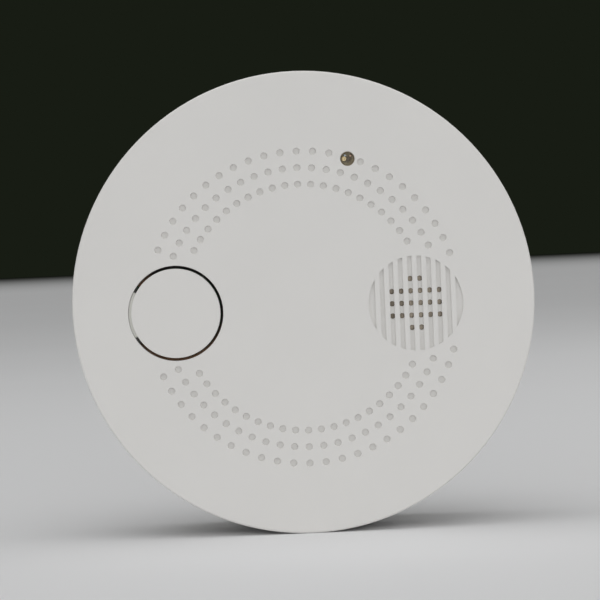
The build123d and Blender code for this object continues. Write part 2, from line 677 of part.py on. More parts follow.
CHIP_AT = (-2.0, -9.0)
CHIP = (10.0, 4.0, 1.4)  # length, width and thickness of the moulded body
CHIP_RISE = 0.1
CHIP_EDGE = 0.25
CHIP_PIN = (0.4, 1.2, 0.6)
CHIP_PIN_PITCH = (1.27, 5.0)
with BuildPart() as microcontroller:
    with BuildSketch(level(BOARD_H[1] + CHIP_RISE, CHIP_AT)):
        Rectangle(CHIP[0], CHIP[1])
    extrude(amount=CHIP[2])
    chamfer(microcontroller.edges().filter_by(Axis.X).sort_by(Axis.Y)[0:2], CHIP_EDGE)
    with BuildSketch(level(BOARD_H[1], CHIP_AT)):
        with GridLocations(CHIP_PIN_PITCH[0], CHIP_PIN_PITCH[1], 8, 2):
            Rectangle(CHIP_PIN[0], CHIP_PIN[1])
    extrude(amount=CHIP_PIN[2])
export(microcontroller, "microcontroller")

COIL_AT = (13.0, -14.0)
COIL_R = (3.4, 4.0)  # radius of the winding and of the core's two ends
COIL_H = (6.5, 1.2, 5.3)  # whole height, bottom and top of the winding
with BuildPart() as sounder_coil:
    with BuildSketch(level(BOARD_H[1], COIL_AT)):
        Circle(COIL_R[1])
    extrude(amount=COIL_H[0])
    with BuildSketch(level(BOARD_H[1] + COIL_H[1], COIL_AT)):
        Circle(COIL_R[1])
        Circle(COIL_R[0], mode=Mode.SUBTRACT)
    extrude(amount=COIL_H[2] - COIL_H[1], mode=Mode.SUBTRACT)
export(sounder_coil, "sounder_coil")

CAPACITOR_AT = (-14.0, -15.0)
CAPACITOR = (3.15, 8.0, 0.4)  # radius, height and rounding of the can
with BuildPart() as storage_capacitor:
    with BuildSketch(level(BOARD_H[1], CAPACITOR_AT)):
        Circle(CAPACITOR[0])
    extrude(amount=CAPACITOR[1])
    fillet(storage_capacitor.edges().filter_by(GeomType.CIRCLE), CAPACITOR[2])
export(storage_capacitor, "storage_capacitor")

RESISTORS_AT = (25.0, 9.0)
RESISTOR = (2.0, 1.25, 0.5)
RESISTOR_PITCH = (3.6, 3.2)
with BuildPart() as chip_resistors:
    with BuildSketch(level(BOARD_H[1], RESISTORS_AT)):
        with GridLocations(RESISTOR_PITCH[0], RESISTOR_PITCH[1], 4, 3):
            Rectangle(RESISTOR[0], RESISTOR[1])
    extrude(amount=RESISTOR[2])
export(chip_resistors, "chip_resistors")

# ---- battery ------------------------------------------------------------------------------------
BATTERY_EDGE = 0.5
NUB = (3.2, 0.8)  # radius and height of the positive end
with BuildPart() as battery_cell:
    with BuildSketch(Plane.YZ):
        with Locations((-BATTERY_H, BATTERY_AT[1])):
            Circle(BATTERY_R)
    extrude(amount=BATTERY_L / 2, both=True)
    fillet(battery_cell.edges().filter_by(GeomType.CIRCLE), BATTERY_EDGE)
    with BuildSketch(Plane.YZ.offset(BATTERY_L / 2)):
        with Locations((-BATTERY_H, BATTERY_AT[1])):
            Circle(NUB[0])
    extrude(amount=NUB[1])
export(battery_cell, "battery_cell")

# Two flat tabs that cross the ends of the cell and turn down onto the board.
TAB_T = 0.25
TAB_W = 4.0
TAB_FOOT = 2.0
TAB_END = BATTERY_BAY[1] + 2.4
with BuildPart() as battery_tabs:
    for start in (BATTERY_L / 2 + NUB[1], -BATTERY_L / 2 - TAB_T):
        with BuildSketch(Plane.YZ.offset(start)):
            with BuildLine():
                Polyline(
                    (-BATTERY_H + TAB_W / 2, BATTERY_AT[1] - TAB_W / 2),
                    (-BATTERY_H - TAB_W / 2, BATTERY_AT[1] - TAB_W / 2),
                    (-BATTERY_H - TAB_W / 2, TAB_END),
                    (-BOARD_H[1], TAB_END),
                    (-BOARD_H[1], TAB_END - TAB_FOOT),
                    (-BATTERY_H + TAB_W / 2, TAB_END - TAB_FOOT),
                    close=True,
                )
            make_face()
        extrude(amount=TAB_T)
export(battery_tabs, "battery_tabs")

PAD = (22.0, 7.0, 1.0)  # length, width and corner of the foam pad
with BuildPart() as battery_pad:
    with BuildSketch(level(BATTERY_H + BATTERY_R, BATTERY_AT)):
        RectangleRounded(PAD[0], PAD[1], PAD[2])
    extrude(amount=INNER - BATTERY_H - BATTERY_R)
export(battery_pad, "battery_pad")


# ---- smoke chamber ------------------------------------------------------------------------------
def beam_frame(angle):
    """The tip of the lens that looks at the chamber's middle, the way out along it, and the way across."""
    tip = polar(OPTICS_OFF, angle, CHAMBER_AT)
    beam = (cos(radians(angle)), 0, sin(radians(angle)))
    across = (-sin(radians(angle)), 0, cos(radians(angle)))
    return (tip[0], -OPTICS_H, tip[1]), beam, across


HOLDER = (7.5, 5.8)  # width across and length along the beam
HOLDER_TOP = 3.2  # how far the holder rises over the lens axis
BORE_FIT = 0.05
with BuildPart() as chamber_base:
    with BuildSketch(level(CHAMBER_H[0], CHAMBER_AT)):
        Circle(CHAMBER_R)
    extrude(amount=CHAMBER_H[1] - CHAMBER_H[0])
    for angle in (EMITTER_ANGLE, DETECTOR_ANGLE):
        tip, beam, across = beam_frame(angle)
        drop = OPTICS_H - CHAMBER_H[1]
        with BuildSketch(Plane(origin=tip, x_dir=across, z_dir=beam)):
            with Locations((0, (HOLDER_TOP - drop) / 2)):
                Rectangle(HOLDER[0], drop + HOLDER_TOP)
        extrude(amount=HOLDER[1])
        with BuildSketch(Plane(origin=tip, x_dir=across, z_dir=beam)):
            Circle(OPTICS_R + BORE_FIT)
        extrude(amount=HOLDER[1], mode=Mode.SUBTRACT)
export(chamber_base, "chamber_base")

VANE_GAP = 0.1  # gap between the vanes and the base
with BuildPart() as chamber_lid:
    with BuildSketch(level(CHAMBER_H[2], CHAMBER_AT)):
        Circle(CHAMBER_R)
    extrude(amount=CHAMBER_H[3] - CHAMBER_H[2])
    # chevron vanes let smoke through and keep light out
    with BuildSketch(level(CHAMBER_H[1] + VANE_GAP, CHAMBER_AT)):
        for radius, slant in VANE_RINGS:
            with PolarLocations(radius, VANES):
                Rectangle(VANE_L, VANE_T, rotation=slant)
    extrude(amount=CHAMBER_H[2] - CHAMBER_H[1] - VANE_GAP)
export(chamber_lid, "chamber_lid")

with BuildPart() as insect_screen:
    with BuildSketch(level(CHAMBER_H[1] - SCREEN_LAP, CHAMBER_AT)):
        Circle(SCREEN_R[1])
        Circle(SCREEN_R[0], mode=Mode.SUBTRACT)
    extrude(amount=CHAMBER_H[2] - CHAMBER_H[1] + 2 * SCREEN_LAP)
export(insect_screen, "insect_screen")


def make_optic(name, angle):
    """A round-nosed 3 mm lens that lies along its beam and points at the chamber's middle."""
    tip, beam, _ = beam_frame(angle)
    with BuildPart() as optic:
        with BuildSketch(Plane(origin=tip, x_dir=beam, z_dir=(0, -1, 0))):
            with BuildLine():
                RadiusArc((0, 0), (OPTICS_R, OPTICS_R), OPTICS_R)
                Line((OPTICS_R, OPTICS_R), (OPTICS_L, OPTICS_R))
                Line((OPTICS_L, OPTICS_R), (OPTICS_L, 0))
                Line((OPTICS_L, 0), (0, 0))
            make_face()
        revolve(axis=Axis(tip, beam))
    export(optic, name)


make_optic("infrared_emitter", EMITTER_ANGLE)
make_optic("photodiode", DETECTOR_ANGLE)

# ---- mounting plate -----------------------------------------------------------------------------
FORK_RIB = (1.2, 5.0)
FORK_OFF = SLIDER_HALF + 2.7  # degrees from the knob's middle to each fork rib
WINDOW_PLAY = 1.3  # degrees of play round a foot in its window
with BuildPart() as mounting_plate:
    # the web that lies on the wall, two walls on it, and the deck between them
    with BuildSketch(level(0)):
        Circle(DECK_R[0] + WEB_T)
    extrude(amount=WEB_T)
    for radius in (DECK_R[0] + WEB_T, DECK_R[1]):
        with BuildSketch(level(0)):
            Circle(radius)
            Circle(radius - WEB_T, mode=Mode.SUBTRACT)
        extrude(amount=PLATE_TOP)
    with BuildSketch(level(DECK_BOTTOM)):
        Circle(DECK_R[1])
        Circle(DECK_R[0], mode=Mode.SUBTRACT)
    extrude(amount=PLATE_TOP - DECK_BOTTOM)
    front_edges = mounting_plate.edges().filter_by(GeomType.CIRCLE).group_by(Axis.Y)[0]
    fillet(front_edges.sort_by(SortBy.RADIUS)[-1], EDGE_R)
    # bayonet windows: narrow for a hook's pillar, wide where its foot comes out
    for angle in HOOK_ANGLES:
        free = angle + TWIST
        with BuildSketch(level(DECK_BOTTOM)):
            ring_segment(HOOK_R, PILLAR_T + 2 * FOOT_PLAY, angle - PILLAR_HALF - 1.0, free)
            ring_segment(
                HOOK_R,
                FOOT_W + 2 * FOOT_PLAY,
                free - FOOT_HALF - WINDOW_PLAY,
                free + FOOT_HALF + WINDOW_PLAY,
            )
        extrude(amount=PLATE_TOP - DECK_BOTTOM, mode=Mode.SUBTRACT)
    # screw slots, and raised pads round them
    with BuildSketch(level(WEB_T)):
        with GridLocations(SCREW_SPACING, 1, 2, 1):
            SlotOverall(SLOT_L + 2 * PAD_RIM, 2 * (SLOT_R + PAD_RIM))
    extrude(amount=PAD_H)
    with BuildSketch(level(0)):
        with GridLocations(SCREW_SPACING, 1, 2, 1):
            SlotOverall(SLOT_L, 2 * SLOT_R)
    extrude(amount=WEB_T + PAD_H, mode=Mode.SUBTRACT)
    # fork that holds the power slider's knob
    with BuildSketch(level(WEB_T)):
        for side in (1, -1):
            with Locations(Location(polar(SLIDER_AT[0], SLIDER_AT[1] + side * FORK_OFF), side * FORK_OFF)):
                Rectangle(FORK_RIB[0], FORK_RIB[1])
    extrude(amount=PLATE_TOP - WEB_T)
export(mounting_plate, "mounting_plate")

# ---- power switch -------------------------------------------------------------------------------
FLANGE_H = FLOOR_H[1] + SLIDER_FLANGE[2]
with BuildPart() as power_slider:
    with BuildSketch(level(SLIDER_H[0])):
        ring_segment(SLIDER_AT[0], SLIDER_T, SLIDER_AT[1] - SLIDER_HALF, SLIDER_AT[1] + SLIDER_HALF)
    extrude(amount=SLIDER_H[1] - SLIDER_H[0])
    with BuildSketch(level(FLANGE_H)):
        ring_segment(
            SLIDER_AT[0],
            SLIDER_FLANGE[0],
            SLIDER_AT[1] - SLIDER_FLANGE[1],
            SLIDER_AT[1] + SLIDER_FLANGE[1],
        )
    extrude(amount=SLIDER_H[1] - FLANGE_H)
    with BuildSketch(level(SLIDER_H[1], polar(*SLIDER_AT))):
        Rectangle(KEY[0], KEY[0])
    extrude(amount=KEY[1])
export(power_slider, "power_slider")

SLIDE_SWITCH = (12.0, 5.0)
SLIDE_WINDOW = (7.8, 2.6, 2.2)
SLIDE_SWITCH_H = SLIDER_H[1] + 0.3
SLIDE_SWITCH_AT = polar(SLIDER_AT[0], SLIDER_AT[1] - TWIST / 2)
with BuildPart() as slide_switch_body:
    with BuildSketch(level(SLIDE_SWITCH_H)):
        with Locations(Location(SLIDE_SWITCH_AT, -TWIST / 2)):
            Rectangle(SLIDE_SWITCH[0], SLIDE_SWITCH[1])
    extrude(amount=BOARD_H[0] - SLIDE_SWITCH_H)
    with BuildSketch(level(SLIDE_SWITCH_H)):
        with Locations(Location(SLIDE_SWITCH_AT, -TWIST / 2)):
            Rectangle(SLIDE_WINDOW[0], SLIDE_WINDOW[1])
    extrude(amount=SLIDE_WINDOW[2], mode=Mode.SUBTRACT)
export(slide_switch_body, "slide_switch_body")
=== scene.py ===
"""The looks of the smoke detector: materials, small visible parts, floor, light and camera."""

from math import cos, pi, radians, sin

import bmesh
import bpy
from mathutils import Matrix, Vector


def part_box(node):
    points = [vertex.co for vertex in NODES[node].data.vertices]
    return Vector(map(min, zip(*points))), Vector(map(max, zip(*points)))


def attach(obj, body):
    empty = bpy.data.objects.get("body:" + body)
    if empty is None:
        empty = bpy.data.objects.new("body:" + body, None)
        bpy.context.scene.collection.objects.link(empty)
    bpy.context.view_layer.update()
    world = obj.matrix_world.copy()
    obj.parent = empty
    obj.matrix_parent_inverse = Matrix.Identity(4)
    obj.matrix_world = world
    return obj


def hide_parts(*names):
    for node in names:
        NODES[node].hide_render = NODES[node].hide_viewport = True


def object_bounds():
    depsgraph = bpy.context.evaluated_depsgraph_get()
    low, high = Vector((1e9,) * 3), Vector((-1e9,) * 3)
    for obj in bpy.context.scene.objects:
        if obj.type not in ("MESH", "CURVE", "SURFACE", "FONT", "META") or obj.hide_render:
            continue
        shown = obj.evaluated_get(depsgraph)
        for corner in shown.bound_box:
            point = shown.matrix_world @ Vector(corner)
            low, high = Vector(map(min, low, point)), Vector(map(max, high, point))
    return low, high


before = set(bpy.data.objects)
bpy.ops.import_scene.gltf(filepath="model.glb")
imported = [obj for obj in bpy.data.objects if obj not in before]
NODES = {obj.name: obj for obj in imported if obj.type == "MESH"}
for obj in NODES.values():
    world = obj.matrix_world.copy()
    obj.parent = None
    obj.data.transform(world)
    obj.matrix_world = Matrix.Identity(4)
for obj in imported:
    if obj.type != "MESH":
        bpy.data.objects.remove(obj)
CAD_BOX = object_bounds()
MM = 0.001
HEAD = "alarm_head"
BLUR = 0.05 * MM  # how softly a mask ends, unless its material says otherwise
WELD = 1e-7  # m, points nearer than this become one


# ---- shader helpers -----------------------------------------------------------------------------
class Shader:
    """A new material's node tree, with short names for the nodes that the materials are made of."""

    def __init__(self, name, **settings):
        self.material = bpy.data.materials.new(name)
        self.material.use_nodes = True
        self.tree = self.material.node_tree
        self.surface = self.tree.nodes["Principled BSDF"]
        for socket, value in settings.items():
            self.surface.inputs[socket.replace("_", " ")].default_value = value
        self.place = self.node("ShaderNodeTexCoord").outputs["Object"]
        split = self.node("ShaderNodeSeparateXYZ", Vector=self.place)
        self.x, self.y, self.z = (split.outputs[axis] for axis in "XYZ")

    def node(self, kind, **inputs):
        made = self.tree.nodes.new(kind)
        for socket, value in inputs.items():
            self.feed(made.inputs[socket.replace("_", " ")], value)
        return made

    def feed(self, socket, value):
        if isinstance(value, bpy.types.NodeSocket):
            self.tree.links.new(value, socket)
        else:
            socket.default_value = value

    def maths(self, operation, *values):
        made = self.tree.nodes.new("ShaderNodeMath")
        made.operation = operation
        for socket, value in zip(made.inputs, values):
            self.feed(socket, value)
        return made.outputs["Value"]

    def stretched(self, stretch):
        made = self.node("ShaderNodeMapping", Vector=self.place, Scale=stretch)
        return made.outputs["Vector"]

    def noise(self, size, detail=3.0, stretch=(1, 1, 1)):
        """Cloudy noise from 0 to 1, whose lumps are about size metres across."""
        vector = self.stretched(stretch)
        made = self.node("ShaderNodeTexNoise", Vector=vector, Scale=1 / size, Detail=detail)
        return made.outputs["Fac"]

    def cells(self, size, stretch=(1, 1, 1)):
        """Distance to the nearest of scattered points, which are about size metres apart."""
        made = self.node("ShaderNodeTexVoronoi", Vector=self.stretched(stretch), Scale=1 / size)
        return made.outputs["Distance"]

    def bands(self, value, pitch):
        """A wave from 0 to 1 that repeats every pitch of the value."""
        wave = self.maths("SINE", self.maths("MULTIPLY", value, 2 * pi / pitch))
        return self.span(wave, 0.0, 1.0, -1.0, 1.0)

    def off_axis(self, x, z):
        return self.maths("SUBTRACT", self.x, x), self.maths("SUBTRACT", self.z, z)

    def radius(self, x, z):
        """Distance from the line along Y through (x, z)."""
        across, up = self.off_axis(x, z)
        squares = self.maths("ADD", self.maths("POWER", across, 2), self.maths("POWER", up, 2))
        return self.maths("SQRT", squares)

    def angle(self, x, z):
        """Angle round the line along Y through (x, z), in radians."""
        across, up = self.off_axis(x, z)
        return self.maths("ARCTAN2", up, across)

    def above(self, value, edge, blur=BLUR):
        """0 below the edge and 1 above it."""
        return self.span(value, 0.0, 1.0, edge - blur / 2, edge + blur / 2)

    def below(self, value, edge, blur=BLUR):
        """1 below the edge and 0 above it."""
        return self.span(value, 1.0, 0.0, edge - blur / 2, edge + blur / 2)

    def near(self, value, middle, reach, blur=BLUR):
        """1 where the value is within reach of the middle."""
        off = self.maths("ABSOLUTE", self.maths("SUBTRACT", value, middle))
        return self.below(off, reach, blur)

    def both(self, first, second):
        return self.maths("MULTIPLY", first, second)

    def either(self, first, second):
        return self.maths("MAXIMUM", first, second)

    def ramp(self, value, low, high, stops=(0.0, 1.0)):
        """A colour between two, which turns from one to the other between the stops."""
        made = self.node("ShaderNodeValToRGB", Fac=value)
        for element, stop, colour in zip(made.color_ramp.elements, stops, (low, high)):
            element.position = stop
            element.color = (*colour, 1.0)
        return made.outputs["Color"]

    def mix(self, mask, base, over):
        """The base colour, and the other one where the mask is 1."""
        made = self.node("ShaderNodeMixRGB", Fac=mask)
        for socket, colour in (("Color1", base), ("Color2", over)):
            self.feed(made.inputs[socket], (*colour, 1.0) if isinstance(colour, tuple) else colour)
        return made.outputs["Color"]

    def span(self, value, low, high, from_low=0.0, from_high=1.0):
        """Maps one range onto another."""
        made = self.node("ShaderNodeMapRange", Value=value)
        limits = {"From Min": from_low, "From Max": from_high, "To Min": low, "To Max": high}
        for socket, limit in limits.items():
            made.inputs[socket].default_value = limit
        return made.outputs["Result"]

    def bump(self, height, depth, strength=1.0, under=None):
        """A relief that is depth metres deep, on top of the one under it."""
        made = self.node("ShaderNodeBump", Height=height, Distance=depth, Strength=strength)
        if under:
            self.feed(made.inputs["Normal"], under)
        return made.outputs["Normal"]

    def set(self, **sockets):
        """Feeds sockets of the surface."""
        for socket, value in sockets.items():
            self.feed(self.surface.inputs[socket.replace("_", " ")], value)
        return self


def moulded(name, light, dark, rough=(0.42, 0.52), grain=0.22 * MM, depth=0.006 * MM):
    """Moulded plastic: faint blotches of tone, and the fine pitted grain of a spark-eroded tool."""
    shader = Shader(name)
    pits = shader.bump(shader.noise(grain, 2.0), depth)
    shader.tone = shader.ramp(shader.noise(20 * MM, 4.0), dark, light, (0.3, 0.7))
    shader.relief = shader.bump(shader.noise(30 * MM, 2.0), 0.04 * MM, 0.3, pits)
    wear = shader.span(shader.noise(4 * MM), *rough)
    return shader.set(Base_Color=shader.tone, Roughness=wear, Normal=shader.relief)


def metal(name, light, dark, rough, stretch=(1, 1, 1), size=0.3 * MM):
    """Bare metal: fine marks along the way it was rolled or drawn, and a cloudy tarnish."""
    shader = Shader(name, Metallic=1.0)
    marks = shader.noise(size, 4.0, stretch)
    shader.tone = shader.ramp(shader.noise(3 * MM), dark, light, (0.3, 0.7))
    relief = shader.bump(marks, 0.003 * MM)
    return shader.set(Base_Color=shader.tone, Roughness=shader.span(marks, *rough), Normal=relief)


def dress(shader, *names):
    """Puts one material on every slot of these CAD nodes."""
    for name in names:
        slots = NODES[name].data.materials
        slots.clear()
        slots.append(shader.material)


def middle(name):
    """The middle of a CAD node's box."""
    low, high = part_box(name)
    return (low + high) / 2


# ---- shape helpers ------------------------------------------------------------------------------
def add_piece(name, mesh, shader, body=HEAD):
    """A new smooth-shaded piece, which takes its finish from the given material."""
    for polygon in mesh.polygons:
        polygon.use_smooth = True
    mesh.materials.append(shader.material)
    piece = bpy.data.objects.new(name, mesh)
    bpy.context.scene.collection.objects.link(piece)
    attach(piece, body)
    return piece


def turned(name, profile, place, steps=48, start=0, end=360):
    """A mesh turned round the line along Y through place; the profile's points are (radius, y)."""
    mesh = bpy.data.meshes.new(name)
    shape = bmesh.new()
    angles = [radians(start + (end - start) * step / steps) for step in range(steps + 1)]
    x, z = place
    spokes = [(cos(angle), sin(angle)) for angle in angles]
    rings = []
    for radius, y in profile:
        rings.append([shape.verts.new((x + radius * c, y, z + radius * s)) for c, s in spokes])
    for near, far in zip(rings, rings[1:]):
        for step in range(steps):
            shape.faces.new((near[step], near[step + 1], far[step + 1], far[step]))
    if end - start < 360:
        for step in (0, -1):
            shape.faces.new([ring[step] for ring in rings[:-1]])
    bmesh.ops.remove_doubles(shape, verts=shape.verts, dist=WELD)
    bmesh.ops.recalc_face_normals(shape, faces=shape.faces)
    shape.to_mesh(mesh)
    shape.free()
    return mesh


def joined(name, meshes):
    """One mesh from several."""
    shape = bmesh.new()
    for mesh in meshes:
        shape.from_mesh(mesh)
    whole = bpy.data.meshes.new(name)
    shape.to_mesh(whole)
    shape.free()
    return whole


def block(name, low, high, edge, steps=3):
    """A box with rounded edges."""
    mesh = bpy.data.meshes.new(name)
    shape = bmesh.new()
    bmesh.ops.create_cube(shape, size=1.0)
    for vert in shape.verts:
        vert.co = [low[i] + (vert.co[i] + 0.5) * (high[i] - low[i]) for i in range(3)]
    bmesh.ops.bevel(
        shape, geom=shape.edges[:], offset=edge, segments=steps, affect="EDGES", profile=0.5
    )
    bmesh.ops.recalc_face_normals(shape, faces=shape.faces)
    shape.to_mesh(mesh)
    shape.free()
    return mesh


# ---- white mouldings ----------------------------------------------------------------------------
FACE_Y = CAD_BOX[0].y
WHITE = ((0.815, 0.802, 0.782), (0.80, 0.788, 0.768))  # light and dark tone of the face
OFF_WHITE = ((0.80, 0.788, 0.768), (0.78, 0.768, 0.745))
PLATE_WHITE = ((0.80, 0.79, 0.77), (0.78, 0.77, 0.75))
DUST = (0.60, 0.585, 0.55)
DUSTY_Y = -22 * MM  # middle of the inlet and the housing's lower curve, where dust gathers
# painted shade: the darker grey of the button's web, deep in the gap
WEB_PAINTED_SHADE = (0.70, 0.70, 0.655)
FLOW_TONE = (0.72, 0.71, 0.69)
GATE_R = 0.9  # mm, the stub where the mounting plate was gated
PIN_MARK_R = 2.0  # mm, the rings that ejector pins left
WEB_MARKS = ((14, 24), (14, -24), (-28, 8))  # mm, on the plate's middle
DECK_MARKS = ((0, 41), (-35.5, -20.5), (35.5, -20.5))  # mm, on the plate's raised ring
DECK_Y = -3.6  # mm, back of that ring


def cover_white():
    """The front cover: clean white ABS with a satin, finely eroded face."""
    return moulded("cover_white_abs", *WHITE)


def housing_white():
    """The housing: the same plastic with a little dust along its lower curve and its inlet."""
    shader = moulded("housing_white_abs", *OFF_WHITE, (0.44, 0.55))
    dust = shader.both(shader.noise(2.5 * MM, 6.0), shader.near(shader.y, DUSTY_Y, 5 * MM, 6 * MM))
    return shader.set(Base_Color=shader.mix(shader.span(dust, 0.0, 0.35), shader.tone, DUST))


def button_white():
    """The button: the web beside its hinge lies deep in the gap, where it is painted darker as
    painted shade.
    """
    shader = moulded("button_white_abs", *WHITE)
    low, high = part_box("test_button")
    cap_r = (high.z - low.z) / 2
    outside = shader.above(shader.radius(high.x - cap_r, (low.z + high.z) / 2), cap_r + 0.03 * MM)
    sunk = shader.above(shader.y, FACE_Y + 0.3 * MM)
    # painted shade on the sunken web outside the cap
    return shader.set(Base_Color=shader.mix(shader.both(outside, sunk), shader.tone, WEB_PAINTED_SHADE))


def plate_white():
    """The mounting plate: glossier white, with faint flow lines from its gate."""
    shader = moulded("plate_white_abs", *PLATE_WHITE, (0.32, 0.45), 0.35 * MM)
    flow = shader.bands(shader.maths("ADD", shader.radius(0, 0), shader.noise(9 * MM)), 7 * MM)
    swirl = shader.bump(shader.noise(0.5 * MM, 3.0, (1, 1, 0.15)), 0.01 * MM, 0.5, shader.relief)
    tone = shader.mix(shader.both(flow, 0.12), shader.tone, FLOW_TONE)
    return shader.set(Base_Color=tone, Normal=swirl)


def plate_marks(shader):
    """Rings left by the ejector pins, and the trimmed gate, just proud of the plate's back."""
    ridge = ((-0.25, -0.05), (-0.16, 0.14), (0.16, 0.14), (0.25, -0.05), (-0.25, -0.05))
    marks = []
    for y, places in ((0.0, WEB_MARKS), (DECK_Y, DECK_MARKS)):
        profile = [((PIN_MARK_R + r) * MM, (y + rise) * MM) for r, rise in ridge]
        marks += [turned("mark", profile, (x * MM, z * MM)) for x, z in places]
    stub = ((0.0, 0.25), (0.6, 0.25), (0.85, 0.2), (1.0, -0.05), (0.0, -0.05))
    marks.append(turned("mark", [(GATE_R * r * MM, rise * MM) for r, rise in stub], (0, 0)))
    add_piece("plate_marks", joined("plate_marks", marks), shader, "mount")


# ---- black and dark plastics --------------------------------------------------------------------
def black_plastic():
    light, dark = (0.026, 0.026, 0.027), (0.014, 0.014, 0.015)
    return moulded("black_nylon", light, dark, (0.55, 0.7), 0.15 * MM, 0.015 * MM)


def sounder_plastic():
    """Glass-filled plastic: short pale fibres just under a dull black skin."""
    shader = moulded("sounder_pbt", (0.034, 0.033, 0.032), (0.02, 0.019, 0.019), (0.45, 0.6))
    fibres = shader.above(shader.noise(0.25 * MM, 2.0, (1, 1, 0.2)), 0.68, 0.1)
    return shader.set(Base_Color=shader.mix(fibres, shader.tone, (0.075, 0.073, 0.07)))


def slider_plastic():
    return moulded("slider_acetal", (0.33, 0.34, 0.35), (0.29, 0.30, 0.31), (0.3, 0.42))


# ---- metals -------------------------------------------------------------------------------------
def steel():
    return metal("zinc_steel", (0.66, 0.67, 0.68), (0.52, 0.53, 0.55), (0.22, 0.4), (1, 0.15, 1))


def nickel():
    return metal("rolled_nickel", (0.72, 0.69, 0.64), (0.6, 0.57, 0.52), (0.2, 0.36), (0.12, 1, 1))


def brass():
    """The sounder's disc: brushed brass with a cloudy tarnish, and painted shade in blotchy dark
    brown towards its left edge.
    """
    at = middle("sounder_disc")
    light, dark, brown = (0.48, 0.42, 0.34), (0.33, 0.285, 0.23), (0.06, 0.045, 0.03)
    shader = metal("brushed_brass", light, dark, (0.2, 0.34), (1, 1, 0.1))
    left = shader.below(shader.x, at.x - 3.5 * MM, 6 * MM)
    # painted shade: dark brown blotches towards the disc's left edge
    painted_shade_left = shader.both(left, shader.noise(2.5 * MM, 4.0))
    return shader.set(Base_Color=shader.mix(painted_shade_left, shader.tone, brown))


# ---- electronics --------------------------------------------------------------------------------
ELECTRODE_R = 7.2 * MM
TRACK_SIZE = 5 * MM
VIA_PITCH = 6 * MM
BOARD_CORE = 0.75 * MM  # half the bare glass's thickness at the board's edge
CHIP_HALF = 2.02 * MM  # half the chip's moulded body along Z; its pins stand beyond it
PINS_REACH = 4 * MM
RESISTORS_ABOVE = 8 * MM  # the resistors' row lies more than this above the chip
RESISTOR_STEP = 1.8 * MM  # half the pitch of the row
COIL_WINDING = 2.0 * MM  # half the height of the turns
COIL_WIRE = 0.22 * MM
CAN_TOP = (2.5 * MM, 0.25 * MM)  # radius and depth of the can's bare top
CAN_SCORE = 0.12 * MM  # half the width of the cross scored in it
CELL_MINUS = 0.35 * MM  # bare ends of the lithium cell
CELL_PLUS = 1.2 * MM
CELL_BAND = 23 * MM  # where its sleeve turns pale
SCREEN_R = 18.3 * MM
SCREEN_PITCH = 0.45 * MM
LABEL_ROW = 5 * MM
LABEL_BORDER = 1.2 * MM
TIN = (0.66, 0.65, 0.63)


def ceramic():
    """Piezo ceramic: a fired silver electrode that stops short of the pale ceramic's edge."""
    at = middle("sounder_ceramic")
    shader = Shader("piezo_ceramic")
    silver = shader.below(shader.radius(at.x, at.z), ELECTRODE_R)
    speckle = shader.noise(0.12 * MM, 3.0)
    fired = shader.ramp(speckle, (0.62, 0.58, 0.48), (0.7, 0.66, 0.56))
    tone = shader.mix(silver, fired, (0.68, 0.68, 0.67))
    return shader.set(
        Base_Color=tone, Metallic=shader.both(silver, 0.85),
        Roughness=shader.span(speckle, 0.4, 0.6), Normal=shader.bump(speckle, 0.004 * MM),
    )


def circuit_green():
    """Green solder mask over copper tracks, tinned vias, and the bare glass board at its edges."""
    shader = Shader("solder_mask")
    flat = shader.node("ShaderNodeCombineXYZ", X=shader.x, Y=shader.z).outputs["Vector"]
    bricks = shader.node("ShaderNodeTexBrick", Vector=flat, Scale=1 / TRACK_SIZE, Mortar_Size=0.05)
    tracks = bricks.outputs["Fac"]
    vias = shader.below(shader.cells(VIA_PITCH, (1, 0, 1)), 0.09, 0.02)
    core = shader.near(shader.y, middle("circuit_board").y, BOARD_CORE)
    mask = shader.ramp(shader.noise(8 * MM), (0.006, 0.085, 0.03), (0.012, 0.11, 0.04))
    tone = shader.mix(vias, shader.mix(tracks, mask, (0.03, 0.2, 0.06)), (0.6, 0.58, 0.54))
    relief = shader.bump(shader.either(tracks, vias), 0.03 * MM, 0.6)
    weave = shader.noise(0.3 * MM, 4.0, (1, 4, 1))
    glass = shader.ramp(weave, (0.42, 0.36, 0.16), (0.55, 0.49, 0.25))
    return shader.set(
        Base_Color=shader.mix(core, tone, glass), Metallic=shader.both(vias, 0.8), Normal=relief,
        Roughness=shader.span(core, 0.28, 0.7),
    )


def chip_black():
    """Moulded epoxy bodies; the pins beside the chip and the resistors' ends are tinned."""
    shader = Shader("chip_epoxy")
    chip, row = middle("microcontroller"), middle("chip_resistors")
    from_chip = shader.maths("ABSOLUTE", shader.maths("SUBTRACT", shader.z, chip.z))
    beside = shader.above(from_chip, CHIP_HALF)
    pins = shader.both(beside, shader.near(shader.z, chip.z, PINS_REACH))
    along = shader.maths("PINGPONG", shader.maths("SUBTRACT", shader.x, row.x), RESISTOR_STEP)
    in_row = shader.above(shader.z, chip.z + RESISTORS_ABOVE)
    ends = shader.both(shader.near(along, 1.0 * MM, 0.25 * MM), in_row)
    tin = shader.either(pins, ends)
    grit = shader.noise(0.12 * MM, 3.0)
    body = shader.ramp(grit, (0.018, 0.018, 0.019), (0.04, 0.04, 0.042))
    return shader.set(
        Base_Color=shader.mix(tin, body, TIN), Metallic=shader.both(tin, 0.9),
        Roughness=shader.span(tin, 0.6, 0.3), Normal=shader.bump(grit, 0.006 * MM),
    )


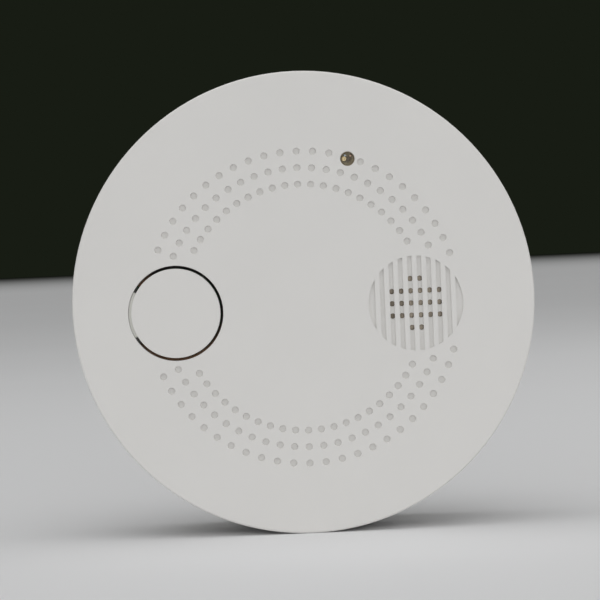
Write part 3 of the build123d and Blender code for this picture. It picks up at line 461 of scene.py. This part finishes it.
def coil():
    """A drum coil: turns of enamelled copper between the two ends of a ferrite core."""
    shader = Shader("drum_coil")
    winding = shader.near(shader.y, middle("sounder_coil").y, COIL_WINDING)
    turns = shader.bands(shader.y, COIL_WIRE)
    copper = shader.ramp(turns, (0.24, 0.07, 0.025), (0.72, 0.32, 0.14))
    ferrite = shader.ramp(shader.noise(0.2 * MM), (0.03, 0.029, 0.03), (0.06, 0.058, 0.06))
    return shader.set(
        Base_Color=shader.mix(winding, ferrite, copper), Metallic=shader.both(winding, 0.8),
        Roughness=shader.span(winding, 0.6, 0.3),
        Normal=shader.bump(shader.both(winding, turns), 0.08 * MM),
    )


def can():
    """An electrolytic capacitor: a dark sleeve with its pale stripe, and the bare scored top."""
    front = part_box("storage_capacitor")[0].y
    at = middle("storage_capacitor")
    shader = Shader("capacitor_sleeve")
    top_r, top_depth = CAN_TOP
    inside = shader.below(shader.radius(at.x, at.z), top_r)
    top = shader.both(shader.below(shader.y, front + top_depth), inside)
    stripe = shader.near(shader.angle(at.x, at.z), 0.6, 0.35, 0.02)
    sleeve = shader.ramp(shader.noise(1.5 * MM), (0.012, 0.02, 0.05), (0.018, 0.03, 0.075))
    tone = shader.mix(top, shader.mix(stripe, sleeve, (0.55, 0.57, 0.6)), (0.74, 0.74, 0.75))
    upright = shader.near(shader.x, at.x, CAN_SCORE)
    level = shader.near(shader.z, at.z, CAN_SCORE)
    score = shader.both(shader.both(shader.either(upright, level), top), -1.0)
    return shader.set(
        Base_Color=tone, Metallic=shader.both(top, 0.95), Roughness=shader.span(top, 0.25, 0.35),
        Normal=shader.bump(score, 0.15 * MM),
    )


def battery_wrap():
    """A lithium cell: a shrunk two-tone sleeve without any print, and bare nickelled ends."""
    low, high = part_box("battery_cell")
    shader = Shader("battery_sleeve")
    minus = shader.below(shader.x, low.x + CELL_MINUS)
    ends = shader.either(minus, shader.above(shader.x, high.x - CELL_PLUS))
    band = shader.above(shader.x, low.x + CELL_BAND)
    film = shader.ramp(shader.noise(6 * MM), (0.02, 0.07, 0.24), (0.03, 0.09, 0.29))
    sleeve = shader.mix(band, film, (0.62, 0.63, 0.65))
    creases = shader.noise(0.8 * MM, 4.0, (0.15, 1, 1))
    return shader.set(
        Base_Color=shader.mix(ends, sleeve, (0.7, 0.68, 0.64)), Metallic=shader.both(ends, 0.95),
        Roughness=shader.span(creases, 0.18, 0.3), Normal=shader.bump(creases, 0.03 * MM, 0.5),
    )


def screen_mesh():
    """The insect screen: fine woven steel wire, open between the wires."""
    at = middle("insect_screen")
    shader = Shader("insect_mesh", Metallic=1.0, Roughness=0.4)
    round_it = shader.bands(shader.angle(at.x, at.z), SCREEN_PITCH / SCREEN_R)
    up_it = shader.bands(shader.y, SCREEN_PITCH)
    wires = shader.either(shader.above(round_it, 0.6, 0.2), shader.above(up_it, 0.6, 0.2))
    tone = shader.ramp(shader.noise(1 * MM), (0.32, 0.32, 0.33), (0.5, 0.5, 0.5))
    return shader.set(Base_Color=tone, Alpha=wires, Normal=shader.bump(wires, 0.1 * MM))


def label_paper():
    """A silvery label with blank ruled boxes, without any print."""
    low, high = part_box("back_label")
    shader = Shader("silver_label", Metallic=0.35)
    fibre = shader.noise(0.2 * MM, 4.0)
    paper = shader.ramp(fibre, (0.66, 0.66, 0.65), (0.72, 0.72, 0.71))
    border = shader.above(shader.maths("ABSOLUTE", shader.x), high.x - LABEL_BORDER)
    up = shader.maths("SUBTRACT", shader.z, low.z)
    rows = shader.above(shader.bands(up, LABEL_ROW), 0.99, 0.01)
    lines = shader.both(shader.either(border, rows), shader.near(shader.x, 0.0, high.x - 1.0 * MM))
    return shader.set(
        Base_Color=shader.mix(lines, paper, (0.1, 0.1, 0.11)),
        Roughness=shader.span(fibre, 0.35, 0.5), Normal=shader.bump(fibre, 0.004 * MM),
    )


def foam(name):
    """Open-celled foam."""
    shader = Shader(name, Roughness=0.95, Sheen_Weight=0.2)
    pores = shader.cells(0.45 * MM)
    tone = shader.ramp(pores, (0.012, 0.012, 0.013), (0.05, 0.05, 0.052))
    return shader.set(Base_Color=tone, Normal=shader.bump(pores, 0.2 * MM))


def infrared_epoxy():
    """Smoky blue-black epoxy that only infrared passes."""
    shader = Shader("infrared_epoxy", Coat_Weight=0.6)
    cloud = shader.noise(1 * MM)
    return shader.set(
        Base_Color=shader.ramp(cloud, (0.012, 0.010, 0.022), (0.028, 0.022, 0.045)),
        Roughness=shader.span(cloud, 0.12, 0.25),
    )


dress(cover_white(), "front_cover")
dress(housing_white(), "rear_housing")
dress(button_white(), "test_button")
PLATE = plate_white()
dress(PLATE, "mounting_plate")
plate_marks(PLATE)
dress(
    black_plastic(), "switch_body", "switch_plunger", "slide_switch_body", "led_spacer",
    "chamber_base", "chamber_lid",
)
dress(sounder_plastic(), "sounder_cup")
dress(slider_plastic(), "power_slider")
dress(steel(), "button_pin", "cover_screws", "board_screws")
dress(nickel(), "sounder_contacts", "led_leads", "battery_tabs")
dress(brass(), "sounder_disc")
dress(ceramic(), "sounder_ceramic")
dress(circuit_green(), "circuit_board")
dress(chip_black(), "microcontroller", "chip_resistors")
dress(coil(), "sounder_coil")
dress(can(), "storage_capacitor")
dress(battery_wrap(), "battery_cell")
dress(screen_mesh(), "insect_screen")
dress(label_paper(), "back_label")
dress(infrared_epoxy(), "infrared_emitter", "photodiode")
FOAM = foam("black_foam")
dress(FOAM, "battery_pad", "sounder_gasket")


# ---- status light -------------------------------------------------------------------------------
LED_AT = middle("status_led")
LED_FRAME_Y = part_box("status_led")[0].y + 1.1 * MM  # front of the lead frame, inside the lens
LED_CUP = ((0.0, 0.3), (0.18, 0.28), (0.46, 0.0), (0.56, 0.0), (0.52, 0.5), (0.3, 1.6), (0.0, 1.6))
LED_RING = ((1.57, -0.3), (1.73, -0.3), (1.73, 1.0), (1.57, 1.0), (1.57, -0.3))
LED_FOOT = ((0.0, 1.5), (1.0, 1.5), (1.42, 0.9), (1.46, 0.9), (1.46, 2.2), (0.0, 2.2))


def led_lens():
    """Water-clear epoxy, which lets the lead frame show and turns milky towards its rim."""
    shader = Shader("clear_epoxy", Roughness=0.06, IOR=1.54, Coat_Weight=0.5)
    rim = shader.node("ShaderNodeLayerWeight", Blend=0.3).outputs["Facing"]
    haze = shader.noise(0.8 * MM)
    return shader.set(
        Base_Color=shader.ramp(haze, (0.42, 0.37, 0.27), (0.56, 0.51, 0.39)),
        Alpha=shader.span(rim, 0.1, 0.7),
    )


def led_back(at):
    """The epoxy's moulded foot behind the lead frame, dark in the middle and olive round it."""
    shader = Shader("led_back", Roughness=0.3)
    blots = shader.noise(0.5 * MM, 2.0)
    ring = shader.span(shader.radius(at.x + 0.15 * MM, at.z), 0.0, 1.0, 0.5 * MM, 1.35 * MM)
    shade = shader.maths("ADD", shader.both(ring, 0.65), shader.both(blots, 0.35))
    dark, olive = (0.10, 0.06, 0.035), (0.50, 0.45, 0.30)
    return shader.set(Base_Color=shader.ramp(shade, dark, olive, (0.15, 0.9)))


def led_liner():
    """The brownish wall of the hole round the lens."""
    shader = Shader("led_liner", Roughness=0.5)
    tone = shader.ramp(shader.noise(0.4 * MM), (0.34, 0.28, 0.2), (0.5, 0.43, 0.32))
    return shader.set(Base_Color=tone)


def led_turned(name, profile, place, shader):
    """A turned part of the light; the profile is in mm, behind the front of the lead frame."""
    points = [(radius * MM, LED_FRAME_Y + y * MM) for radius, y in profile]
    add_piece(name, turned(name, points, place), shader)


def led_inside():
    """The reflector cup, the lead frame's two posts, the hole's liner and the dark foot."""
    gold = metal("gold_cup", (1.0, 0.86, 0.55), (0.95, 0.70, 0.34), (0.2, 0.3))
    # painted highlight: the anvil's pale blue tint
    silver = metal("silver_post_painted_highlight", (0.66, 0.76, 0.88), (0.5, 0.58, 0.68), (0.3, 0.45))
    copper = metal("copper_post", (0.85, 0.52, 0.42), (0.6, 0.36, 0.3), (0.3, 0.45))
    x, z = LED_AT.x, LED_AT.z
    cup_at = (x - 0.86 * MM, z + 0.05 * MM)
    led_turned("led_cup", LED_CUP, cup_at, gold)
    for name, shader, right, up, half in (
        ("led_anvil", silver, -0.6, 0.82, 0.26), ("led_post", copper, 0.72, 0.72, 0.2)
    ):
        low = (x + (right - half) * MM, LED_FRAME_Y + 0.1 * MM, z + (up - half) * MM)
        high = (x + (right + half) * MM, LED_FRAME_Y + 1.6 * MM, z + (up + half) * MM)
        add_piece(name, block(name, low, high, 0.1 * MM), shader)
    led_turned("led_liner", LED_RING, (x, z), led_liner())
    led_turned("led_back", LED_FOOT, (x, z), led_back(LED_AT))


dress(led_lens(), "status_led")
led_inside()


# ---- foam ---------------------------------------------------------------------------------------
# The strip under the button's gap, in mm outside the cap and behind the face, and how many degrees
# it reaches to both sides of the line away from the hinge.
SEAL_PROFILE = (
    (1.1, 2.1), (2.3, 2.1), (2.3, 4.0), (0.2, 4.0), (0.15, 3.8), (0.2, 3.6), (1.0, 3.5), (1.1, 2.1)
)
SEAL_REACH = 143
BROWN_ANGLE = radians(138)  # middle of the strip's brown upper left
# The sounder's gasket, in mm from its outer radius and its front.
GASKET_PROFILE = (
    (-1.4, 0.0), (-1.55, 0.5), (-1.6, 1.0), (-1.55, 1.5), (-1.4, 2.0), (-0.1, 2.0), (0.0, 1.5),
    (0.0, 1.0), (0.0, 0.5), (-0.1, 0.0), (-1.4, 0.0),
)
SOFT_STEPS = 72  # round the strip and the gasket


def brown_felt(centre, bottom):
    """Felted foam, dark, but brown along its bottom and its upper left."""
    shader = foam("brown_felt")
    upper_left = shader.near(shader.angle(*centre), BROWN_ANGLE, radians(12), 0.3)
    # brown along the bottom and the upper left, dark elsewhere
    brown_parts = shader.either(shader.below(shader.z, bottom + 5 * MM, 7 * MM), upper_left)
    fibres = shader.noise(0.6 * MM, 4.0)
    dark = shader.ramp(fibres, (0.03, 0.02, 0.022), (0.06, 0.04, 0.04))
    brown = shader.ramp(fibres, (0.42, 0.22, 0.12), (0.62, 0.37, 0.23))
    return shader.set(Base_Color=shader.mix(brown_parts, dark, brown))


def button_seal():
    """A strip of felted foam under the gap round the button, which keeps light and dust out."""
    low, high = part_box("test_button")
    cap_r = (high.z - low.z) / 2
    centre = (high.x - cap_r, (low.z + high.z) / 2)
    profile = [(cap_r + r * MM, FACE_Y + y * MM) for r, y in SEAL_PROFILE]
    mesh = turned("button_seal", profile, centre, SOFT_STEPS, -SEAL_REACH, SEAL_REACH)
    seal = add_piece("button_seal", mesh, brown_felt(centre, low.z))


def bulged(name, low, high, edge, bulge):
    """A soft block pressed along Y, whose other sides stand out between its two pressed faces."""
    mesh = block(name, low, high, edge, 4)
    shape = bmesh.new()
    shape.from_mesh(mesh)
    bmesh.ops.subdivide_edges(shape, edges=shape.edges[:], cuts=3, use_grid_fill=True)
    centre = (Vector(low) + Vector(high)) / 2
    half = (Vector(high) - Vector(low)) / 2
    for vert in shape.verts:
        swell = bulge * (1 - ((vert.co.y - centre.y) / half.y) ** 2)
        for axis in (0, 2):
            vert.co[axis] += swell * (vert.co[axis] - centre[axis]) / half[axis]
    shape.to_mesh(mesh)
    shape.free()
    return mesh


def foam_parts():
    """The battery's pad and the sounder's gasket, in place of their plain solids."""
    low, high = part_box("battery_pad")
    pad_mesh = bulged("battery_foam", tuple(low), tuple(high), 0.6 * MM, 0.35 * MM)
    pad = add_piece("battery_foam", pad_mesh, FOAM)
    low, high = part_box("sounder_gasket")
    outer = (high.x - low.x) / 2
    profile = [(outer + r * MM, low.y + y * MM) for r, y in GASKET_PROFILE]
    at = middle("sounder_gasket")
    ring_mesh = turned("gasket_foam", profile, (at.x, at.z), SOFT_STEPS)
    gasket = add_piece("gasket_foam", ring_mesh, FOAM)
    for piece, node in ((pad, "battery_pad"), (gasket, "sounder_gasket")):
        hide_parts(node)


button_seal()
foam_parts()

# ---- floor, light and camera --------------------------------------------------------------------
FLOOR_Z = CAD_BOX[0].z
FLOOR_BACK = 9.4  # m
FADE_START = 4.4  # m, where the floor starts to fade into the dark behind it
FLOOR_SIDE = 6.0  # m, also how far the floor comes forward
FLOOR_CLOUDS = 0.3  # m
FLOOR_TONES = ((0.80, 0.80, 0.81), (0.825, 0.825, 0.835))
FAR_TONE = (0.012, 0.015, 0.009)
BACKDROP = (0.0091, 0.0116, 0.0070)
MIDDLE = (CAD_BOX[0] + CAD_BOX[1]) / 2
CAMERA_DISTANCE = 0.6  # m, from the face
CAMERA_REACH = 40.0  # m
YAW = radians(1.2)
PITCH = radians(1.2)
ROLL = radians(2.543)
VIEW_WIDTH = 0.14514  # m, what the picture spans at the face
OFF_CENTRE = (0.00070, 0.00060)  # m, how far the disc's middle is right of and below the picture's
SENSOR = 36.0  # mm


def put(name, data):
    """A new object in the scene."""
    placed = bpy.data.objects.new(name, data)
    placed.rotation_mode = "QUATERNION"
    bpy.context.scene.collection.objects.link(placed)
    return placed


def floor_paint():
    """Matt off-white paint, which fades into the dark at the far edge."""
    shader = Shader("pale_floor", Roughness=0.6, Specular_IOR_Level=0.0)
    fade = shader.node("ShaderNodeMapRange", Value=shader.y)
    fade.interpolation_type = "SMOOTHSTEP"
    fade.inputs["From Min"].default_value = FADE_START
    fade.inputs["From Max"].default_value = FLOOR_BACK
    paint = shader.ramp(shader.noise(FLOOR_CLOUDS), *FLOOR_TONES)
    return shader.set(Base_Color=shader.mix(fade.outputs["Result"], paint, FAR_TONE))


def lay_floor():
    """One level face under the detector, which isn't part of it."""
    mesh = bpy.data.meshes.new("floor")
    near, far = -FLOOR_SIDE, FLOOR_BACK
    corners = ((-FLOOR_SIDE, near), (FLOOR_SIDE, near), (FLOOR_SIDE, far), (-FLOOR_SIDE, far))
    mesh.from_pydata([(x, y, FLOOR_Z) for x, y in corners], [], [(0, 1, 2, 3)])
    mesh.materials.append(floor_paint().material)
    put("floor", mesh)


def hang_backdrop():
    """A plain dark surround."""
    world = bpy.data.worlds.new("studio")
    world.use_nodes = True
    world.node_tree.nodes["Background"].inputs["Color"].default_value = (*BACKDROP, 1.0)
    bpy.context.scene.world = world


def aimed(name, kind, place, aim, power):
    """A light that points from one place at another."""
    data = bpy.data.lights.new(name, kind)
    data.energy = power
    light = put(name, data)
    light.location = place
    light.rotation_quaternion = (Vector(aim) - Vector(place)).to_track_quat("-Z", "Y")
    return data


def softbox(name, place, aim, width, height, watts):
    """A rectangular area light."""
    data = aimed(name, "AREA", place, aim, watts)
    data.shape = "RECTANGLE"
    data.size = width
    data.size_y = height


def sky(name, place, spread, strength):
    """A very wide sun, like an overcast sky around one direction."""
    data = aimed(name, "SUN", place, (0, 0, 0), strength)
    data.angle = radians(spread)


def place_camera():
    """A long lens almost square to the face, turned a little about its own axis."""
    ahead = Vector((-sin(YAW) * cos(PITCH), cos(YAW) * cos(PITCH), -sin(PITCH)))
    level_across = ahead.cross(Vector((0, 0, 1))).normalized()
    level_up = level_across.cross(ahead)
    across = level_across * cos(ROLL) - level_up * sin(ROLL)
    above = level_across * sin(ROLL) + level_up * cos(ROLL)
    target = Vector((0, FACE_Y, 0)) - OFF_CENTRE[0] * across + OFF_CENTRE[1] * above
    data = bpy.data.cameras.new("camera")
    data.sensor_width = SENSOR
    data.lens = SENSOR * CAMERA_DISTANCE / VIEW_WIDTH
    data.clip_end = CAMERA_REACH
    camera = put("camera", data)
    camera.location = target - CAMERA_DISTANCE * ahead
    camera.rotation_quaternion = Matrix((across, above, -ahead)).transposed().to_quaternion()
    bpy.context.scene.camera = camera


lay_floor()
hang_backdrop()
sky("sky", (-0.05, -0.8, 0.55), 160, 1.8)
softbox("front", (0.2, -1.6, 0.3), MIDDLE, 1.6, 1.2, 3.4)
softbox("above", (-0.1, -0.25, 1.3), (0.0, -0.1, FLOOR_Z), 1.8, 1.2, 5.0)
softbox("behind", (0.9, 0.6, 0.5), (0.03, 0.03, FLOOR_Z), 0.8, 0.6, 1.3)
place_camera()
bpy.context.scene.view_settings.view_transform = "Standard"
